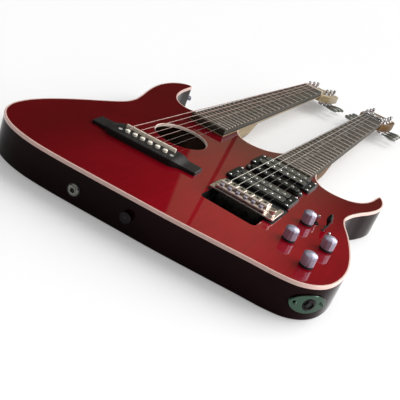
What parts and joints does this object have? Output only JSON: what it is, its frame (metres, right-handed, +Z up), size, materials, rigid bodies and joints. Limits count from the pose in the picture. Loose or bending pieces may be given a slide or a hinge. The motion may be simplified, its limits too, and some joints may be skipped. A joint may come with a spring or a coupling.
{
  "type": "double-neck guitar",
  "caption": "Double-neck guitar lying on its back: a solid electric half with a tremolo bridge beside a hollow flat-top half with a soundhole, both necks with headstocks and machine heads.",
  "frame": {"origin": "on the flat back of the body, midway between the two necks, on the line of the electric saddles", "axes": "+X across the necks towards the treble side, +Y along the necks towards the headstocks, +Z up from the back of the body"},
  "size_m": [0.4324, 0.9533, 0.0658],
  "materials": {
    "red_gloss": "red dye under clear gloss lacquer",
    "dark_gloss": "near-black burst under clear gloss lacquer",
    "cream_binding": "polished",
    "maple": "satin lacquer",
    "rosewood": "oiled, with nickel-silver frets",
    "bone": "polished bone",
    "black_wood": "satin, with ivory-coloured pins",
    "chrome_plate": "polished plating",
    "black_plastic": "moulded",
    "cover_plastic": "grained sheet",
    "plain_steel": "drawn wire and spring steel",
    "bronze_wire": "wound on a steel core"
  },
  "bodies": {
    "guitar": {"body_core": "dark_gloss", "body_top": "red_gloss", "body_binding": "cream_binding", "valley_binding": "cream_binding", "tremolo_cover": "cover_plastic", "control_cover": "cover_plastic", "acoustic_neck": "maple", "acoustic_fretboard": "rosewood", "acoustic_nut": "bone", "acoustic_bass_tuner_strip": "chrome_plate", "acoustic_treble_tuner_strip": "chrome_plate", "acoustic_string_6": "bronze_wire", "acoustic_string_5": "bronze_wire", "acoustic_string_4": "bronze_wire", "acoustic_string_3": "bronze_wire", "acoustic_string_2": "plain_steel", "acoustic_string_1": "plain_steel", "electric_neck": "maple", "electric_fretboard": "rosewood", "locking_nut": "chrome_plate", "electric_bass_tuner_strip": "chrome_plate", "electric_treble_tuner_strip": "chrome_plate", "electric_string_6": "plain_steel", "electric_string_5": "plain_steel", "electric_string_4": "plain_steel", "electric_string_3": "plain_steel", "electric_string_2": "plain_steel", "electric_string_1": "plain_steel", "acoustic_bridge": "black_wood", "acoustic_saddle": "bone", "bridge_pickup": "black_plastic", "bridge_pickup_ring": "black_plastic", "neck_pickup": "black_plastic", "neck_pickup_ring": "black_plastic", "middle_pickup": "black_plastic", "tremolo_springs": "plain_steel", "jack_plate": "chrome_plate", "end_jack": "chrome_plate", "tail_strap_button": "chrome_plate", "horn_strap_button": "chrome_plate"},
    "acoustic_bass_tuner_button_1": {"acoustic_bass_tuner_button_1": "chrome_plate"},
    "acoustic_bass_tuner_button_2": {"acoustic_bass_tuner_button_2": "chrome_plate"},
    "acoustic_bass_tuner_button_3": {"acoustic_bass_tuner_button_3": "chrome_plate"},
    "acoustic_treble_tuner_button_1": {"acoustic_treble_tuner_button_1": "chrome_plate"},
    "acoustic_treble_tuner_button_2": {"acoustic_treble_tuner_button_2": "chrome_plate"},
    "acoustic_treble_tuner_button_3": {"acoustic_treble_tuner_button_3": "chrome_plate"},
    "electric_bass_tuner_button_1": {"electric_bass_tuner_button_1": "chrome_plate"},
    "electric_bass_tuner_button_2": {"electric_bass_tuner_button_2": "chrome_plate"},
    "electric_bass_tuner_button_3": {"electric_bass_tuner_button_3": "chrome_plate"},
    "electric_treble_tuner_button_1": {"electric_treble_tuner_button_1": "chrome_plate"},
    "electric_treble_tuner_button_2": {"electric_treble_tuner_button_2": "chrome_plate"},
    "electric_treble_tuner_button_3": {"electric_treble_tuner_button_3": "chrome_plate"},
    "volume_knob": {"volume_knob": "chrome_plate"},
    "tone_knob": {"tone_knob": "chrome_plate"},
    "blend_knob": {"blend_knob": "chrome_plate"},
    "acoustic_volume_knob": {"acoustic_volume_knob": "chrome_plate"},
    "selector_lever": {"selector_lever": "black_plastic"},
    "split_toggle": {"split_toggle": "chrome_plate"},
    "output_toggle": {"output_toggle": "chrome_plate"},
    "tremolo_bridge": {"tremolo_unit": "chrome_plate"}
  },
  "joints": [
    {"name": "acoustic_bass_tuner_button_1_turn", "type": "hinge", "parent": "guitar", "child": "acoustic_bass_tuner_button_1", "pos_m": [-0.0958, 0.6787, 0.02177], "axis": [1, 0, 0], "continuous": true},
    {"name": "acoustic_bass_tuner_button_2_turn", "type": "hinge", "parent": "guitar", "child": "acoustic_bass_tuner_button_2", "pos_m": [-0.0958, 0.71435, 0.01676], "axis": [1, 0, 0], "continuous": true},
    {"name": "acoustic_bass_tuner_button_3_turn", "type": "hinge", "parent": "guitar", "child": "acoustic_bass_tuner_button_3", "pos_m": [-0.0958, 0.75, 0.01175], "axis": [1, 0, 0], "continuous": true},
    {"name": "acoustic_treble_tuner_button_1_turn", "type": "hinge", "parent": "guitar", "child": "acoustic_treble_tuner_button_1", "pos_m": [-0.0402, 0.6787, 0.02177], "axis": [1, 0, 0], "continuous": true},
    {"name": "acoustic_treble_tuner_button_2_turn", "type": "hinge", "parent": "guitar", "child": "acoustic_treble_tuner_button_2", "pos_m": [-0.0402, 0.71435, 0.01676], "axis": [1, 0, 0], "continuous": true},
    {"name": "acoustic_treble_tuner_button_3_turn", "type": "hinge", "parent": "guitar", "child": "acoustic_treble_tuner_button_3", "pos_m": [-0.0402, 0.75, 0.01175], "axis": [1, 0, 0], "continuous": true},
    {"name": "electric_bass_tuner_button_1_turn", "type": "hinge", "parent": "guitar", "child": "electric_bass_tuner_button_1", "pos_m": [0.0402, 0.68985, 0.01917], "axis": [1, 0, 0], "continuous": true},
    {"name": "electric_bass_tuner_button_2_turn", "type": "hinge", "parent": "guitar", "child": "electric_bass_tuner_button_2", "pos_m": [0.0402, 0.72568, 0.01572], "axis": [1, 0, 0], "continuous": true},
    {"name": "electric_bass_tuner_button_3_turn", "type": "hinge", "parent": "guitar", "child": "electric_bass_tuner_button_3", "pos_m": [0.0402, 0.76152, 0.01227], "axis": [1, 0, 0], "continuous": true},
    {"name": "electric_treble_tuner_button_1_turn", "type": "hinge", "parent": "guitar", "child": "electric_treble_tuner_button_1", "pos_m": [0.0958, 0.68985, 0.01917], "axis": [1, 0, 0], "continuous": true},
    {"name": "electric_treble_tuner_button_2_turn", "type": "hinge", "parent": "guitar", "child": "electric_treble_tuner_button_2", "pos_m": [0.0958, 0.72568, 0.01572], "axis": [1, 0, 0], "continuous": true},
    {"name": "electric_treble_tuner_button_3_turn", "type": "hinge", "parent": "guitar", "child": "electric_treble_tuner_button_3", "pos_m": [0.0958, 0.76152, 0.01227], "axis": [1, 0, 0], "continuous": true},
    {"name": "volume_knob_turn", "type": "hinge", "parent": "guitar", "child": "volume_knob", "pos_m": [0.141, 0.019, 0.04465], "axis": [0, 0, 1], "range_deg": [0, 280]},
    {"name": "tone_knob_turn", "type": "hinge", "parent": "guitar", "child": "tone_knob", "pos_m": [0.141, -0.044, 0.04465], "axis": [0, 0, 1], "range_deg": [0, 280]},
    {"name": "blend_knob_turn", "type": "hinge", "parent": "guitar", "child": "blend_knob", "pos_m": [0.179, -0.018, 0.04465], "axis": [0, 0, 1], "range_deg": [0, 280]},
    {"name": "acoustic_volume_knob_turn", "type": "hinge", "parent": "guitar", "child": "acoustic_volume_knob", "pos_m": [0.175, -0.078, 0.04465], "axis": [0, 0, 1], "range_deg": [0, 280]},
    {"name": "split_toggle_flip", "type": "hinge", "parent": "guitar", "child": "split_toggle", "pos_m": [0.149, 0.03328, 0.04565], "axis": [1, 0, 0], "range_deg": [0, 18]},
    {"name": "output_toggle_flip", "type": "hinge", "parent": "guitar", "child": "output_toggle", "pos_m": [0.1725, 0.00178, 0.04565], "axis": [1, 0, 0], "range_deg": [0, 18]},
    {"name": "selector_lever_throw", "type": "hinge", "parent": "guitar", "child": "selector_lever", "pos_m": [0.161, 0.042, 0.04585], "axis": [1, 0, 0], "range_deg": [-20, 0]},
    {"name": "tremolo_tilt", "type": "hinge", "parent": "guitar", "child": "tremolo_bridge", "pos_m": [0.068, 0.003, 0.0475], "axis": [1, 0, 0], "range_deg": [-22, 2], "stiffness_Nm_per_rad": 12, "deforming": ["tremolo_springs", "electric_string_6", "electric_string_5", "electric_string_4", "electric_string_3", "electric_string_2", "electric_string_1"]}
  ]
}
